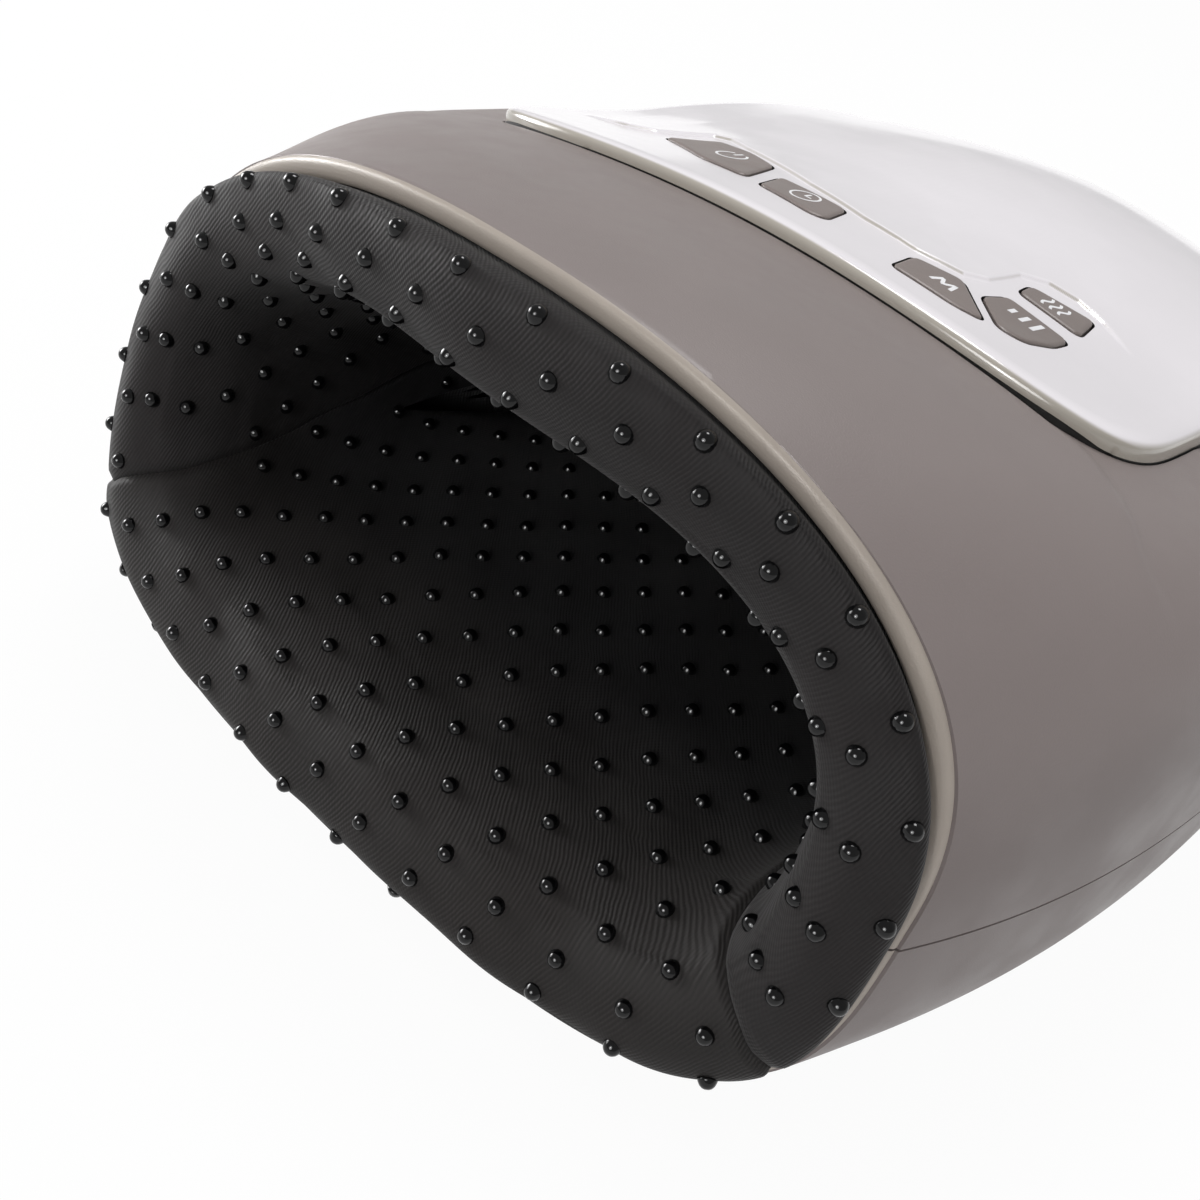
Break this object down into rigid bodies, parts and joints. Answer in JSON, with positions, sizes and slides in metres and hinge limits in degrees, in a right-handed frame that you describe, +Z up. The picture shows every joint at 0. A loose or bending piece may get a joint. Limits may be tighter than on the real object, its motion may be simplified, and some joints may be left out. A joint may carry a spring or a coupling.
{
  "type": "hand compression massager",
  "caption": "Dome-shaped hand massager with a padded mouth for one hand, a glossy top cover and sprung keys.",
  "frame": {"origin": "middle of the footprint, on the table under the feet", "axes": "+X to the right seen from the mouth, -Y out of the mouth, +Z up"},
  "size_m": [0.184, 0.2214, 0.0944],
  "materials": {
    "taupe_shell": "fine matt texture",
    "gloss_cover": "polished off-white",
    "key_plastic": "satin, icons in white",
    "board_laminate": "solder mask",
    "switch_plastic": "moulded",
    "steel": "plated",
    "twill_lining": "fine twill with glossy raised dots",
    "bag_film": "coated film",
    "heater_film": "amber film",
    "frame_plastic": "as moulded",
    "pump_plastic": "as moulded",
    "hose_tube": "soft tube",
    "cell_sleeve": "shrink sleeve",
    "foot_rubber": "moulded rubber"
  },
  "bodies": {
    "case": {"upper_shell": "taupe_shell", "lower_shell": "taupe_shell", "top_cover": "gloss_cover", "switch_power": "switch_plastic", "switch_timer": "switch_plastic", "switch_mode": "switch_plastic", "switch_intensity": "switch_plastic", "switch_heat": "switch_plastic", "board_screw_1": "steel", "board_screw_2": "steel", "board_screw_3": "steel", "board_screw_4": "steel", "key_board": "board_laminate", "lining_roof": "twill_lining", "lining_floor": "twill_lining", "airbag_upper": "bag_film", "heating_pad": "heater_film", "airbag_lower": "bag_film", "finger_arch": "frame_plastic", "palm_tray": "frame_plastic", "pump_bracket": "frame_plastic", "pump_motor": "steel", "pump_head": "pump_plastic", "valve_upper": "pump_plastic", "valve_lower": "pump_plastic", "air_manifold": "pump_plastic", "hose_pump": "hose_tube", "hose_upper": "hose_tube", "hose_lower": "hose_tube", "battery_cell_1": "cell_sleeve", "battery_cell_2": "cell_sleeve", "battery_holder": "frame_plastic", "charge_socket": "switch_plastic", "foot_1": "foot_rubber", "foot_2": "foot_rubber", "foot_3": "foot_rubber", "foot_4": "foot_rubber", "case_screw_1": "steel", "case_screw_2": "steel", "case_screw_3": "steel", "case_screw_4": "steel"},
    "key_power": {"key_power": "key_plastic"},
    "key_timer": {"key_timer": "key_plastic"},
    "key_mode": {"key_mode": "key_plastic"},
    "key_intensity": {"key_intensity": "key_plastic"},
    "key_heat": {"key_heat": "key_plastic"},
    "pump_crank": {"pump_crank": "switch_plastic"},
    "plunger_upper": {"plunger_upper": "steel"},
    "plunger_lower": {"plunger_lower": "steel"}
  },
  "joints": [
    {"name": "power_press", "type": "slide", "parent": "case", "child": "key_power", "axis": [0, 0, -1], "range_m": [0, 0.0006], "stiffness_N_per_m": 400},
    {"name": "timer_press", "type": "slide", "parent": "case", "child": "key_timer", "axis": [0, 0, -1], "range_m": [0, 0.0006], "stiffness_N_per_m": 400},
    {"name": "mode_press", "type": "slide", "parent": "case", "child": "key_mode", "axis": [0, 0, -1], "range_m": [0, 0.0006], "stiffness_N_per_m": 400},
    {"name": "intensity_press", "type": "slide", "parent": "case", "child": "key_intensity", "axis": [0, 0, -1], "range_m": [0, 0.0006], "stiffness_N_per_m": 400},
    {"name": "heat_press", "type": "slide", "parent": "case", "child": "key_heat", "axis": [0, 0, -1], "range_m": [0, 0.0006], "stiffness_N_per_m": 400},
    {"name": "crank_spin", "type": "hinge", "parent": "case", "child": "pump_crank", "pos_m": [-0.01, 0.04279, 0.0683], "axis": [1, 0, 0], "continuous": true},
    {"name": "upper_valve_stroke", "type": "slide", "parent": "case", "child": "plunger_upper", "axis": [0, 0, 1], "range_m": [0, 0.0015], "stiffness_N_per_m": 300},
    {"name": "lower_valve_stroke", "type": "slide", "parent": "case", "child": "plunger_lower", "axis": [0, 0, 1], "range_m": [0, 0.0015], "stiffness_N_per_m": 300}
  ]
}
